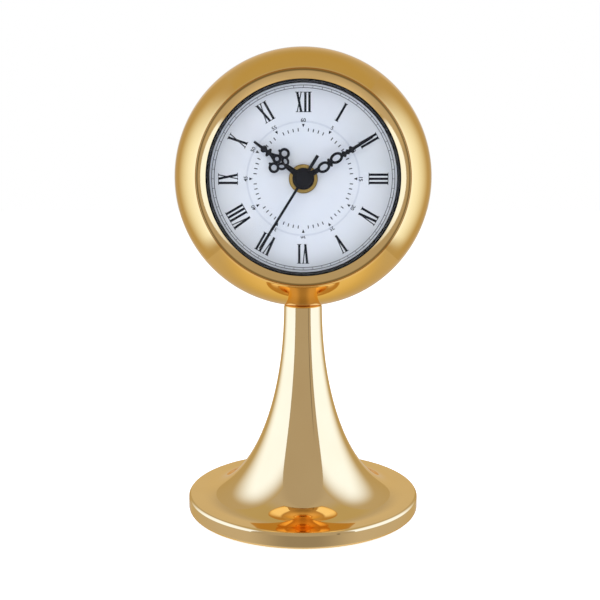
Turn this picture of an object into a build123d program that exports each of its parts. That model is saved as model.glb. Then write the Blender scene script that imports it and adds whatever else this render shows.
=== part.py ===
from build123d import *
import os
from math import cos, radians, sin, sqrt

# Table clock: a polished ball on a trumpet stand, with a pull-out quartz insert in the ball's mouth.
# Millimetres, +Z up, front towards -Y. Origin at the centre of the felt's underside.

# Fits and gaps
RUNNING_FIT = 0.05
SEAT_GAP = 0.05
SLIDE_FIT = 0.1

# Stand
STEM_TOP = 97.3
NECK_RADIUS = 8.9
NECK_HANDLE = 48.8
NECK_ROUNDING = 1.2
FLARE_RADIUS = 48.8
FLARE_HANDLE = 22.8
BASE_RADIUS = 54.6
BASE_HEIGHT = 7.9
RIM_ROUNDING = 1.5
STAND_WALL = 3.0
STEM_CAP = 12.0
FOOT_CLEARANCE = 0.5
PLATE_RADIUS = 48.5
PLATE_THICKNESS = 3.0
SHOULDER_WIDTH = 3.0
FELT_THICKNESS = 1.2

# Tie bolt and its nut
BOLT_RADIUS = 3.0
BOLT_HEAD_RADIUS = 6.0
BOLT_HEAD_HEIGHT = 2.6
BOLT_HOLE_GAP = 0.3
BOLT_TAIL = 1.5
BALL_WASHER_RADIUS = 7.5
BALL_WASHER_THICKNESS = 1.2
NUT_FLATS = 10.0
NUT_THICKNESS = 3.2

# Ball
BALL_RADIUS = 58.5
BALL_WALL = 1.2
MOUTH_GAP = 0.25
MOUTH_LAND = 0.35
SEAT_DEPTH = 1.6
COLLAR_LENGTH = 8.5

# Bezel, lens and cup of the insert
BEZEL_RADIUS = 45.0
BEZEL_FACE = 4.0
BEZEL_SIDE = 0.6
BEZEL_CREST = 1.75
BEZEL_ROUND = 1.1
BEZEL_LIP_FRONT = 0.1
BEZEL_LIP = 0.5
LENS_OVERLAP = 1.0
LENS_THICKNESS = 1.6
SKIRT_WALL = 0.9
GASKET_WIDTH = 1.1
GASKET_THICKNESS = 0.5
CUP_STEP = 0.4
CUP_WALL = 1.2
CUP_RIM = 0.8
CUP_FLOOR = 1.2
GRIP_BAND = 0.5
GRIP_RIBS = 3
GRIP_RIB_WIDTH = 1.6
DIAL_GAP = 0.2
DIAL_THICKNESS = 0.4

# Hands: depth stack behind the lens, angles clockwise from twelve
LENS_CLEARANCE = 1.0
CAP_HEIGHT = 0.7
CAP_RADIUS = 3.6
HAND_THICKNESS = 0.35
HAND_SPACING = 1.3
NUT_CLEARANCE = 0.9
HUB_RADIUS = 4.65
HOUR_ANGLE = 306.8
MINUTE_ANGLE = 59.0
SECOND_ANGLE = 212.0
HOUR_LENGTH = 26.1
MINUTE_LENGTH = 34.0
SECOND_LENGTH = 34.9
SECOND_TAIL = 11.5
SECOND_HALF_WIDTH = 0.56
TAIL_HALF_WIDTH = 0.7
COLLET_WALL = 0.6
COLLET_LENGTH = 0.6

# Centre stack
CENTRE_NUT_RADIUS = 6.2
CENTRE_NUT_HEIGHT = 2.3
CENTRE_NUT_CHAMFER = 0.4
BUSH_RADIUS = 4.0
BUSH_FLANGE = 1.8
BUSH_FLANGE_THICKNESS = 0.6
SEAT_WASHER_RADIUS = 9.0
SEAT_WASHER_THICKNESS = 0.5
HOUR_TUBE_RADIUS = 2.6
MINUTE_TUBE_RADIUS = 1.65
SECOND_ARBOR_RADIUS = 0.5

# Wheels: tooth form in modules and in shares of a tooth pitch
ADDENDUM = 0.9
DEDENDUM = 1.3
TIP_SHARE = 0.09
ROOT_SHARE = 0.30
WHEEL_THICKNESS = 1.1
LAYER_GAP = 0.6
PINION_REACH = 0.3
RIM_GAP = 0.6
ARBOR_RADIUS = 0.5
PIVOT_DEPTH = 0.8
POST_RADIUS = 0.8

# Wheels: teeth, modules and bearings of the axes, counter-clockwise from +X seen from the front
PINION_TEETH = 10
INTERMEDIATE_TEETH = 50
SECOND_TEETH = 60
THIRD_TEETH = 75
CENTRE_TEETH = 80
CANNON_TEETH = 12
MINUTE_TEETH = 36
HOUR_TEETH = 40
STEP_MODULE = 0.25
THIRD_MODULE = 0.27
MOTION_MODULE = 0.36
THIRD_BEARING = 140.0
INTERMEDIATE_BEARING = 50.0
ROTOR_BEARING = 20.0
SETTING_BEARING = 0.0

# Movement housing
CASE_WALL = 1.2
COVER_WALL = 1.2
BRIDGE_THICKNESS = 1.0
BRIDGE_GAP = 0.1
CLUTCH_RADIUS = 3.5
CLUTCH_THICKNESS = 0.5
SCREW_POST_RADIUS = 2.2
SCREW_RADIUS = 0.8
SCREW_HEAD_RADIUS = 1.6
SCREW_HEAD_HEIGHT = 0.8
SCREW_LENGTH = 6.0
KNOB_RADIUS = 5.0
KNOB_LENGTH = 4.0
KNOB_TEETH = 24
KNOB_SHAFT_RADIUS = 1.2
KNOB_CLEARANCE = 0.5

# Stepping motor and electronics
MAGNET_RADIUS = 3.2
MAGNET_LENGTH = 2.2
STATOR_GAP = 0.4
STATOR_RING = 1.4
STATOR_LEG = 2.6
STATOR_THICKNESS = 0.8
STANDOFF_RADIUS = 1.0
CORE_THICKNESS = 0.8
CORE_WIDTH = 2.0
COIL_GAP = 0.3
BOBBIN_WALL = 0.5
BOBBIN_FLANGE = 0.6
COIL_LENGTH = 8.4
BOARD_WIDTH = 11.0
BOARD_HEIGHT = 13.0
BOARD_THICKNESS = 0.8
CHIP_SIZE = 4.0
CHIP_HEIGHT = 0.7
QUARTZ_RADIUS = 1.0
QUARTZ_LENGTH = 6.0

# Battery and contacts
BATTERY_RADIUS = 7.1
BATTERY_CAN_LENGTH = 49.2
BATTERY_NUB_RADIUS = 2.75
BATTERY_NUB_LENGTH = 1.3
BATTERY_EDGE = 0.6
BATTERY_GAP = 0.3
CONTACT_THICKNESS = 0.4
CONTACT_WIDTH = 9.0
CONTACT_SPRING = 2.2

# Values worked out from the sizes above
BALL_Z = STEM_TOP + BALL_RADIUS
BALL_INNER = BALL_RADIUS - BALL_WALL
MOUTH_RADIUS = BEZEL_RADIUS + MOUTH_GAP
SEAM_Y = -sqrt(BALL_RADIUS**2 - (MOUTH_RADIUS + MOUTH_LAND) ** 2)
PLATE_TOP = FELT_THICKNESS + PLATE_THICKNESS
BOLT_HOLE = BOLT_RADIUS + BOLT_HOLE_GAP

OPENING_RADIUS = BEZEL_RADIUS - BEZEL_FACE
LENS_RADIUS = OPENING_RADIUS + LENS_OVERLAP
SKIRT_INNER = LENS_RADIUS + SEAT_GAP
SKIRT_OUTER = SKIRT_INNER + SKIRT_WALL
COLLAR_RADIUS = SKIRT_OUTER + SLIDE_FIT
CUP_INNER = OPENING_RADIUS - CUP_STEP
CUP_OUTER = CUP_INNER + CUP_WALL
DIAL_RADIUS = CUP_INNER - DIAL_GAP

# Depths behind the mouth of the ball, from the front to the back
S_LENS = BEZEL_LIP
S_GASKET = S_LENS + LENS_THICKNESS
S_CUP = S_GASKET + GASKET_THICKNESS
S_GRIP = S_CUP + CUP_RIM
S_SECOND_HAND = S_GASKET + LENS_CLEARANCE + CAP_HEIGHT
S_MINUTE_HAND = S_SECOND_HAND + HAND_THICKNESS + HAND_SPACING
S_HOUR_HAND = S_MINUTE_HAND + HAND_THICKNESS + HAND_SPACING
S_NUT = S_HOUR_HAND + HAND_THICKNESS + NUT_CLEARANCE
S_DIAL = S_NUT + CENTRE_NUT_HEIGHT
S_FLOOR = S_DIAL + DIAL_THICKNESS
S_WASHER = S_FLOOR + CUP_FLOOR
S_CASE = S_WASHER + SEAT_WASHER_THICKNESS
S_INNER = S_CASE + CASE_WALL
S_HOUR_WHEEL = S_INNER + LAYER_GAP
S_MOTION = S_HOUR_WHEEL + WHEEL_THICKNESS + LAYER_GAP
S_CLUTCH = S_MOTION + WHEEL_THICKNESS + LAYER_GAP
S_CENTRE = S_CLUTCH + CLUTCH_THICKNESS + RUNNING_FIT
S_BRIDGE = S_CENTRE + WHEEL_THICKNESS + LAYER_GAP
S_BRIDGE_BACK = S_BRIDGE + BRIDGE_THICKNESS
S_THIRD = S_BRIDGE_BACK + LAYER_GAP
S_SECOND = S_THIRD + WHEEL_THICKNESS + LAYER_GAP
S_INTERMEDIATE = S_SECOND + WHEEL_THICKNESS + LAYER_GAP
S_COVER = S_INTERMEDIATE + WHEEL_THICKNESS + LAYER_GAP
S_BACK = S_COVER + COVER_WALL
S_COIL = (S_BRIDGE_BACK + S_COVER) / 2
S_STATOR = S_COIL - CORE_THICKNESS / 2 - STATOR_THICKNESS
S_MAGNET = S_STATOR + STATOR_THICKNESS / 2 - MAGNET_LENGTH / 2
S_BATTERY = S_INNER + BATTERY_GAP + BATTERY_RADIUS


def toward(start, distance, bearing):
    """Point at a distance and bearing from a start point in the front view."""
    angle = radians(bearing)
    return (start[0] + distance * cos(angle), start[1] + distance * sin(angle))


def tip_radius(teeth, module):
    return module * (teeth / 2 + ADDENDUM)


# Axes of the wheels in the front view, from the hands' axis outwards
CENTRE_AXIS = (0.0, 0.0)
THIRD_DISTANCE = THIRD_MODULE * (PINION_TEETH + THIRD_TEETH) / 2
CENTRE_MODULE = 2 * THIRD_DISTANCE / (PINION_TEETH + CENTRE_TEETH)
THIRD_AXIS = toward(CENTRE_AXIS, THIRD_DISTANCE, THIRD_BEARING)
INTERMEDIATE_DISTANCE = STEP_MODULE * (PINION_TEETH + SECOND_TEETH) / 2
INTERMEDIATE_AXIS = toward(CENTRE_AXIS, INTERMEDIATE_DISTANCE, INTERMEDIATE_BEARING)
ROTOR_DISTANCE = STEP_MODULE * (PINION_TEETH + INTERMEDIATE_TEETH) / 2
ROTOR_AXIS = toward(INTERMEDIATE_AXIS, ROTOR_DISTANCE, ROTOR_BEARING)
MINUTE_DISTANCE = MOTION_MODULE * (CANNON_TEETH + MINUTE_TEETH) / 2
HOUR_MODULE = 2 * MINUTE_DISTANCE / (PINION_TEETH + HOUR_TEETH)
MINUTE_AXIS = toward(CENTRE_AXIS, MINUTE_DISTANCE, SETTING_BEARING)
SETTING_AXIS = toward(MINUTE_AXIS, MINUTE_DISTANCE, SETTING_BEARING)

# Movement housing in the front view
COIL_RADIUS = (S_COVER - S_BRIDGE_BACK) / 2 - COIL_GAP
STATOR_HOLE = MAGNET_RADIUS + STATOR_GAP
STATOR_REACH = STATOR_HOLE + STATOR_RING
COIL_Z = ROTOR_AXIS[1] + STATOR_REACH + COIL_GAP + COIL_RADIUS
COIL_SPAN = COIL_LENGTH + 2 * STATOR_LEG
CONTACT_ROOM = CONTACT_THICKNESS + SLIDE_FIT
BAY_LENGTH = CONTACT_ROOM + BATTERY_NUB_LENGTH + BATTERY_CAN_LENGTH + CONTACT_SPRING + SLIDE_FIT
CASE_HALF = BAY_LENGTH / 2 + CASE_WALL
TRAIN_BOTTOM = -(tip_radius(CENTRE_TEETH, CENTRE_MODULE) + RIM_GAP)
BAY_TOP = TRAIN_BOTTOM - CASE_WALL
BAY_BOTTOM = BAY_TOP - 2 * (BATTERY_RADIUS + BATTERY_GAP)
CASE_BOTTOM = BAY_BOTTOM - CASE_WALL
THIRD_TOP = THIRD_AXIS[1] + tip_radius(THIRD_TEETH, THIRD_MODULE)
TRAIN_TOP = max(COIL_Z + COIL_RADIUS, THIRD_TOP) + RIM_GAP
CASE_TOP = TRAIN_TOP + CASE_WALL
BATTERY_Z = (BAY_TOP + BAY_BOTTOM) / 2
KNOB_MODULE = 2 * KNOB_RADIUS / KNOB_TEETH
POST_INSET = SCREW_POST_RADIUS + BRIDGE_GAP
POST_X = BAY_LENGTH / 2 - POST_INSET
POST_PLACES = [
    (-POST_X, TRAIN_TOP - POST_INSET),
    (POST_X, TRAIN_TOP - POST_INSET),
    (-POST_X, TRAIN_BOTTOM + POST_INSET),
    (POST_X, TRAIN_BOTTOM + POST_INSET),
]
BOARD_PLACE = (
    -POST_X + SCREW_POST_RADIUS + RIM_GAP + BOARD_WIDTH / 2,
    TRAIN_BOTTOM + RIM_GAP + BOARD_HEIGHT / 2,
)

# Insert parts are made with the mouth's centre at the origin and the depth along +Y
INSERT_PLACE = Pos(0, SEAM_Y, BALL_Z)


def turned(*outline):
    """Ring or disc about the clock's axis, from points of radius and depth."""
    return revolve(make_face(Polyline(*outline, close=True)), Axis.Y)


def slab(outline, front, back):
    """Flat shape of the front view, between two depths."""
    return extrude(Plane.XZ.offset(-back) * outline, amount=back - front)


def rod(axis, radius, front, back):
    return slab(Pos(*axis) * Circle(radius), front, back)


def panel(left, right, bottom, top):
    """Rectangle of the front view."""
    return Pos((left + right) / 2, (bottom + top) / 2) * Rectangle(right - left, top - bottom)


def toothed(teeth, module, phase):
    """Outline of a wheel with straight-flanked teeth, one tooth centred on the phase angle."""
    pitch = teeth * module / 2
    root = pitch - DEDENDUM * module
    tip = tip_radius(teeth, module)
    corners = ((root, -ROOT_SHARE), (tip, -TIP_SHARE), (tip, TIP_SHARE), (root, ROOT_SHARE))
    points = []
    for tooth in range(teeth):
        for radius, share in corners:
            points.append(toward((0, 0), radius, phase + (tooth + share) * 360 / teeth))
    return make_face(Polyline(*points, close=True))


def wheel(axis, teeth, module, phase, front, back):
    return slab(Pos(*axis) * toothed(teeth, module, phase), front, back)


def meshed_phase(phase, teeth, bearing, next_teeth):
    """Phase of a wheel that meshes with another one lying at the opposite of the bearing."""
    lead = (phase - bearing) * teeth / 360
    return bearing + 180 + (0.5 - lead) * 360 / next_teeth


# Phases of the meshing wheels, with one arbor of each pair at zero
THIRD_PHASE = meshed_phase(0, PINION_TEETH, THIRD_BEARING, THIRD_TEETH)
CENTRE_PHASE = meshed_phase(0, PINION_TEETH, THIRD_BEARING + 180, CENTRE_TEETH)
INTERMEDIATE_PHASE = meshed_phase(0, SECOND_TEETH, INTERMEDIATE_BEARING, PINION_TEETH)
ROTOR_PHASE = meshed_phase(0, INTERMEDIATE_TEETH, ROTOR_BEARING, PINION_TEETH)
MINUTE_PHASE = meshed_phase(0, CANNON_TEETH, SETTING_BEARING, MINUTE_TEETH)
HOUR_PHASE = meshed_phase(0, PINION_TEETH, SETTING_BEARING + 180, HOUR_TEETH)
SETTING_PHASE = meshed_phase(MINUTE_PHASE, MINUTE_TEETH, SETTING_BEARING, CANNON_TEETH)


# Stand and ball


def stand_outline():
    """Outer profile of the pedestal, radius and height, with a dished seat for the ball."""
    seat_radius = BALL_RADIUS + SEAT_GAP
    rim_top = BALL_Z - sqrt(seat_radius**2 - NECK_RADIUS**2)
    crown = (0, BALL_Z - seat_radius)
    rim = (NECK_RADIUS, rim_top)
    half = NECK_RADIUS / 2
    dish = ThreePointArc(crown, (half, BALL_Z - sqrt(seat_radius**2 - half**2)), rim)
    flare = Bezier(
        rim,
        (NECK_RADIUS, STEM_TOP - NECK_HANDLE),
        (FLARE_RADIUS - FLARE_HANDLE, BASE_HEIGHT),
        (FLARE_RADIUS, BASE_HEIGHT),
    )
    foot = Polyline(
        (FLARE_RADIUS, BASE_HEIGHT),
        (BASE_RADIUS, BASE_HEIGHT),
        (BASE_RADIUS, FOOT_CLEARANCE),
        (0, FOOT_CLEARANCE),
        crown,
    )
    return make_face([dish, flare, foot])


def stand_hollow():
    """Space inside the stand, a wall's thickness inside the flare, open to the foot."""
    roof = STEM_TOP - STEM_CAP
    inner = NECK_RADIUS - STAND_WALL
    shoulder = PLATE_RADIUS - SHOULDER_WIDTH
    flare = Bezier(
        (inner, roof),
        (inner, STEM_TOP - NECK_HANDLE - STAND_WALL),
        (FLARE_RADIUS - FLARE_HANDLE - STAND_WALL, PLATE_TOP),
        (shoulder, PLATE_TOP),
    )
    rest = Polyline((shoulder, PLATE_TOP), (0, PLATE_TOP), (0, roof), (inner, roof))
    return revolve(Plane.XZ * make_face([flare, rest]), Axis.Z)


def upright(radius, bottom, top):
    """Round bar or hole on the stand's axis."""
    return Pos(0, 0, bottom) * Cylinder(radius, top - bottom, align=(Align.CENTER, Align.CENTER, Align.MIN))


def pedestal():
    body = revolve(Plane.XZ * stand_outline(), Axis.Z)
    circles = body.edges().filter_by(GeomType.CIRCLE)
    rim = circles.filter_by(lambda edge: abs(edge.radius - BASE_RADIUS) < SEAT_GAP)
    neck = circles.filter_by(lambda edge: abs(edge.radius - NECK_RADIUS) < SEAT_GAP)
    body = fillet(rim, RIM_ROUNDING)
    body = fillet(neck, NECK_ROUNDING)
    body -= stand_hollow()
    body -= upright(BOLT_HOLE, FOOT_CLEARANCE, BALL_Z)
    body -= upright(PLATE_RADIUS + SLIDE_FIT, 0, PLATE_TOP)
    return body


def bolt_head_cone(gap):
    """Countersunk head, or the seat for it when a gap is given."""
    cone = Cone(BOLT_HEAD_RADIUS + gap, BOLT_RADIUS + gap, BOLT_HEAD_HEIGHT)
    return Pos(0, 0, FELT_THICKNESS + BOLT_HEAD_HEIGHT / 2) * cone


def base_plate():
    plate = upright(PLATE_RADIUS, FELT_THICKNESS, PLATE_TOP)
    plate -= upright(BOLT_RADIUS + SLIDE_FIT, 0, STEM_TOP)
    return plate - bolt_head_cone(SLIDE_FIT)


def felt_pad():
    return upright(PLATE_RADIUS, 0, FELT_THICKNESS)


def ball_washer_bottom():
    """Height where the flat washer's edge meets the inside of the ball."""
    return BALL_Z - sqrt(BALL_INNER**2 - BALL_WASHER_RADIUS**2) + SEAT_GAP


def ball_nut_bottom():
    return ball_washer_bottom() + BALL_WASHER_THICKNESS


def tie_bolt():
    end = ball_nut_bottom() + NUT_THICKNESS + BOLT_TAIL
    return upright(BOLT_RADIUS, FELT_THICKNESS, end) + bolt_head_cone(0)


def ball_washer():
    bottom = ball_washer_bottom()
    washer = upright(BALL_WASHER_RADIUS, bottom, bottom + BALL_WASHER_THICKNESS)
    return washer - upright(BOLT_HOLE, 0, BALL_Z)


def ball_nut():
    hexagon = RegularPolygon(NUT_FLATS / 2, 6, major_radius=False)
    nut = Pos(0, 0, ball_nut_bottom()) * extrude(hexagon, amount=NUT_THICKNESS)
    return nut - upright(BOLT_RADIUS + RUNNING_FIT, 0, BALL_Z)


def ball_case():
    """Thin ball with a rebated mouth and a collar for the insert."""
    seat = SEAM_Y + SEAT_DEPTH
    inside = seat + BALL_WALL
    inside_radius = sqrt(BALL_INNER**2 - inside**2)
    collar_end = seat + COLLAR_LENGTH
    collar_outer = COLLAR_RADIUS + BALL_WALL
    lip = (MOUTH_RADIUS + MOUTH_LAND, SEAM_Y)
    outer = ThreePointArc(lip, (BALL_RADIUS, 0), (0, BALL_RADIUS))
    back = Line((0, BALL_RADIUS), (0, BALL_INNER))
    inner = ThreePointArc((0, BALL_INNER), (BALL_INNER, 0), (inside_radius, inside))
    mouth = Polyline(
        (inside_radius, inside),
        (collar_outer, inside),
        (collar_outer, collar_end),
        (COLLAR_RADIUS, collar_end),
        (COLLAR_RADIUS, seat),
        (MOUTH_RADIUS, seat),
        (MOUTH_RADIUS, SEAM_Y),
        lip,
    )
    shell = revolve(make_face([outer, back, inner, mouth]), Axis.Y)
    return Pos(0, 0, BALL_Z) * shell - upright(BOLT_HOLE, 0, BALL_Z)


# Insert: bezel, lens, cup and dial


def bezel():
    """Ring with a rounded face, a lip over the lens and a skirt around the cup's rim."""
    face = Bezier(
        (BEZEL_RADIUS, -BEZEL_SIDE),
        (BEZEL_RADIUS, -BEZEL_CREST),
        (BEZEL_RADIUS - BEZEL_ROUND, -BEZEL_CREST),
        (OPENING_RADIUS, -BEZEL_LIP_FRONT),
    )
    rest = Polyline(
        (OPENING_RADIUS, -BEZEL_LIP_FRONT),
        (OPENING_RADIUS, S_LENS),
        (SKIRT_INNER, S_LENS),
        (SKIRT_INNER, S_GRIP),
        (SKIRT_OUTER, S_GRIP),
        (SKIRT_OUTER, SEAT_DEPTH),
        (BEZEL_RADIUS, SEAT_DEPTH),
        (BEZEL_RADIUS, -BEZEL_SIDE),
    )
    return revolve(make_face([face, rest]), Axis.Y)


def lens():
    return rod(CENTRE_AXIS, LENS_RADIUS, S_LENS, S_GASKET)


def lens_gasket():
    ring = Circle(LENS_RADIUS) - Circle(LENS_RADIUS - GASKET_WIDTH)
    return slab(ring, S_GASKET, S_CUP)


def insert_cup():
    bore = BUSH_RADIUS + SLIDE_FIT
    return turned(
        (CUP_INNER, S_CUP),
        (LENS_RADIUS, S_CUP),
        (LENS_RADIUS, S_GRIP),
        (CUP_OUTER, S_GRIP),
        (CUP_OUTER, S_WASHER),
        (bore, S_WASHER),
        (bore, S_FLOOR),
        (CUP_INNER, S_FLOOR),
    )


def grip_ring():
    """Rubber band on the cup, with ribs that press into the ball's collar."""
    inner = CUP_OUTER + SEAT_GAP
    band = inner + GRIP_BAND
    crest = COLLAR_RADIUS - RUNNING_FIT
    points = [(inner, S_GRIP)]
    for rib in range(GRIP_RIBS):
        start = S_GRIP + rib * GRIP_RIB_WIDTH
        points.append((band, start))
        points.append((crest, start + GRIP_RIB_WIDTH / 2))
    end = S_GRIP + GRIP_RIBS * GRIP_RIB_WIDTH
    return turned(*points, (band, end), (inner, end))


def dial():
    ring = Circle(DIAL_RADIUS) - Circle(BUSH_RADIUS + SLIDE_FIT)
    return slab(ring, S_DIAL, S_FLOOR)


# Hands, drawn pointing at twelve


def hand_blade(outline, holes, front, bore, angle):
    """Pierced sheet with a hub, a bore and a collet behind it, turned to its angle."""
    back = front + HAND_THICKNESS
    blade = slab(outline + Circle(HUB_RADIUS) - holes, front, back)
    blade += rod(CENTRE_AXIS, bore + COLLET_WALL, front, back + COLLET_LENGTH)
    return Rot(0, angle, 0) * (blade - rod(CENTRE_AXIS, bore, front, S_DIAL))


def taper(low, low_half, high, high_half):
    """Symmetric bar between two heights, with a half width at each."""
    corners = ((-low_half, low), (low_half, low), (high_half, high), (-high_half, high))
    return make_face(Polyline(*corners, close=True))


def mirrored_pair(shape):
    return shape + mirror(shape, about=Plane.YZ)


HOUR_ROOT_HALF = 1.75
HOUR_NECK = 9.4
HOUR_NECK_HALF = 0.9
HOUR_EYES = (1.3, 10.5)
HOUR_EYE_SIZE = (0.65, 1.05)
HOUR_EYE_TILT = -35.0
HOUR_EYE_WALL = 1.0
HOUR_LOOPS = (3.7, 12.8)
HOUR_LOOP_RADIUS = 2.35
HOUR_LOOP_HOLE = 1.2
HOUR_CURL = (3.4, 15.2)
HOUR_CURL_RADIUS = 0.55
HOUR_HEART = 14.0
HOUR_HEART_HOLE = 0.8
HOUR_HEART_RADIUS = 2.0
HOUR_WRIST = 17.0
HOUR_WRIST_HALF = 0.85
HOUR_BEADS = ((18.4, 1.95, 0.85), (20.9, 1.6, 1.3))
ROD_HALF = 0.5


def hour_eye(wall):
    eye = Ellipse(HOUR_EYE_SIZE[0] + wall, HOUR_EYE_SIZE[1] + wall)
    return Pos(*HOUR_EYES) * Rot(0, 0, HOUR_EYE_TILT) * eye


def hour_outline():
    outline = taper(0, HOUR_ROOT_HALF, HOUR_NECK, HOUR_NECK_HALF)
    outline += mirrored_pair(hour_eye(HOUR_EYE_WALL))
    outline += mirrored_pair(Pos(*HOUR_LOOPS) * Circle(HOUR_LOOP_RADIUS))
    outline += mirrored_pair(Pos(*HOUR_CURL) * Circle(HOUR_CURL_RADIUS))
    outline += Pos(0, HOUR_HEART) * Circle(HOUR_HEART_RADIUS)
    outline += taper(HOUR_HEART, HOUR_HEART_RADIUS, HOUR_WRIST, HOUR_WRIST_HALF)
    outline += taper(HOUR_WRIST, HOUR_WRIST_HALF, HOUR_LENGTH, ROD_HALF)
    for height, half, thickness in HOUR_BEADS:
        outline += Pos(0, height) * Ellipse(half, thickness)
    return outline


def hour_holes():
    holes = mirrored_pair(hour_eye(0))
    holes += mirrored_pair(Pos(*HOUR_LOOPS) * Circle(HOUR_LOOP_HOLE))
    return holes + Pos(0, HOUR_HEART) * Circle(HOUR_HEART_HOLE)


MINUTE_ROOT_HALF = 1.5
MINUTE_NECK = 8.4
MINUTE_NECK_HALF = 0.95
MINUTE_LOOPS = ((0.3, 9.95), (-0.25, 16.5))
MINUTE_LOOP_SIZE = (2.3, 3.0)
MINUTE_HOLE_SIZE = (1.15, 1.8)
MINUTE_WAIST_HALF = 0.9
MINUTE_BEADS = ((13.2, 1.95, 0.85), (20.1, 1.45, 0.85), (21.9, 1.2, 0.65), (23.75, 1.6, 0.95))


def minute_outline():
    lower = MINUTE_LOOPS[0][1]
    upper = MINUTE_LOOPS[1][1]
    outline = taper(0, MINUTE_ROOT_HALF, MINUTE_NECK, MINUTE_NECK_HALF)
    for place in MINUTE_LOOPS:
        outline += Pos(*place) * Ellipse(*MINUTE_LOOP_SIZE)
    outline += taper(lower, MINUTE_WAIST_HALF, upper, MINUTE_WAIST_HALF)
    outline += taper(upper, MINUTE_WAIST_HALF, MINUTE_LENGTH, ROD_HALF)
    for height, half, thickness in MINUTE_BEADS:
        outline += Pos(0, height) * Ellipse(half, thickness)
    return outline


def minute_holes():
    hole = Ellipse(*MINUTE_HOLE_SIZE)
    return Pos(*MINUTE_LOOPS[0]) * hole + Pos(*MINUTE_LOOPS[1]) * hole


def hour_hand():
    return hand_blade(hour_outline(), hour_holes(), S_HOUR_HAND, HOUR_TUBE_RADIUS, HOUR_ANGLE)


def minute_hand():
    return hand_blade(minute_outline(), minute_holes(), S_MINUTE_HAND, MINUTE_TUBE_RADIUS, MINUTE_ANGLE)


def second_hand():
    """Plain sweep hand with a tail, a domed cap and a collet behind it."""
    back = S_SECOND_HAND + HAND_THICKNESS
    blade = slab(taper(0, SECOND_HALF_WIDTH, SECOND_LENGTH, SECOND_HALF_WIDTH), S_SECOND_HAND, back)
    blade += slab(taper(-SECOND_TAIL, TAIL_HALF_WIDTH, 0, TAIL_HALF_WIDTH), S_SECOND_HAND, back)
    cap = rod(CENTRE_AXIS, CAP_RADIUS, S_SECOND_HAND - CAP_HEIGHT, back)
    blade += fillet(cap.edges().group_by(Axis.Y)[0], CAP_HEIGHT / 2)
    blade += rod(CENTRE_AXIS, SECOND_ARBOR_RADIUS + COLLET_WALL, S_SECOND_HAND, back + COLLET_LENGTH)
    blade -= rod(CENTRE_AXIS, SECOND_ARBOR_RADIUS, S_SECOND_HAND, S_DIAL)
    return Rot(0, SECOND_ANGLE, 0) * blade


# Centre stack


def centre_nut():
    nut = rod(CENTRE_AXIS, CENTRE_NUT_RADIUS, S_NUT, S_DIAL)
    nut = chamfer(nut.edges().group_by(Axis.Y)[0], CENTRE_NUT_CHAMFER)
    return nut - rod(CENTRE_AXIS, BUSH_RADIUS + RUNNING_FIT, S_NUT, S_DIAL)


def bush_blank(gap):
    """Stepped bush without its bore, or the hole for it when a gap is given."""
    neck = rod(CENTRE_AXIS, BUSH_RADIUS + gap, S_NUT, S_INNER)
    flange = rod(CENTRE_AXIS, BUSH_RADIUS + BUSH_FLANGE + gap, S_INNER - BUSH_FLANGE_THICKNESS, S_INNER)
    return neck + flange


def centre_bush():
    return bush_blank(0) - rod(CENTRE_AXIS, HOUR_TUBE_RADIUS + RUNNING_FIT, 0, S_INNER)


def seat_washer():
    ring = Circle(SEAT_WASHER_RADIUS) - Circle(BUSH_RADIUS + SLIDE_FIT)
    return slab(ring, S_WASHER, S_CASE)


# Movement housing


def posts(radius, front, back):
    bars = [rod(place, radius, front, back) for place in POST_PLACES]
    return Part() + bars


def movement_case():
    """Open box with the train chamber above and the battery bay below."""
    inner = BAY_LENGTH / 2
    case = slab(panel(-CASE_HALF, CASE_HALF, CASE_BOTTOM, CASE_TOP), S_CASE, S_COVER)
    case -= slab(panel(-inner, inner, TRAIN_BOTTOM, TRAIN_TOP), S_INNER, S_COVER)
    case -= slab(panel(-inner, inner, BAY_BOTTOM, BAY_TOP), S_INNER, S_COVER)
    case += posts(SCREW_POST_RADIUS, S_INNER, S_COVER)
    case += rod(MINUTE_AXIS, POST_RADIUS, S_INNER, S_MOTION + WHEEL_THICKNESS)
    case -= posts(SCREW_RADIUS + RUNNING_FIT, S_COVER - SCREW_LENGTH, S_COVER)
    case -= bush_blank(SEAT_GAP)
    case -= rod(THIRD_AXIS, ARBOR_RADIUS + RUNNING_FIT, S_INNER - PIVOT_DEPTH, S_INNER)
    return case - rod(SETTING_AXIS, KNOB_SHAFT_RADIUS + RUNNING_FIT, S_INNER - PIVOT_DEPTH, S_INNER)


def movement_cover():
    cover = slab(panel(-CASE_HALF, CASE_HALF, BAY_TOP, CASE_TOP), S_COVER, S_BACK)
    cover -= posts(SCREW_RADIUS + SLIDE_FIT, S_COVER, S_BACK)
    cover -= rod(SETTING_AXIS, KNOB_SHAFT_RADIUS + RUNNING_FIT, S_COVER, S_BACK)
    for axis in (CENTRE_AXIS, THIRD_AXIS, INTERMEDIATE_AXIS, ROTOR_AXIS):
        cover -= rod(axis, ARBOR_RADIUS + RUNNING_FIT, S_COVER, S_COVER + PIVOT_DEPTH)
    return cover


def cover_screws():
    heads = posts(SCREW_HEAD_RADIUS, S_BACK, S_BACK + SCREW_HEAD_HEIGHT)
    return heads + posts(SCREW_RADIUS, S_BACK - SCREW_LENGTH, S_BACK)


def standoff_places():
    """Feet of the stator, one under each of its legs."""
    offset = (COIL_SPAN - STATOR_LEG) / 2
    return [(ROTOR_AXIS[0] - offset, COIL_Z), (ROTOR_AXIS[0] + offset, COIL_Z)]


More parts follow.
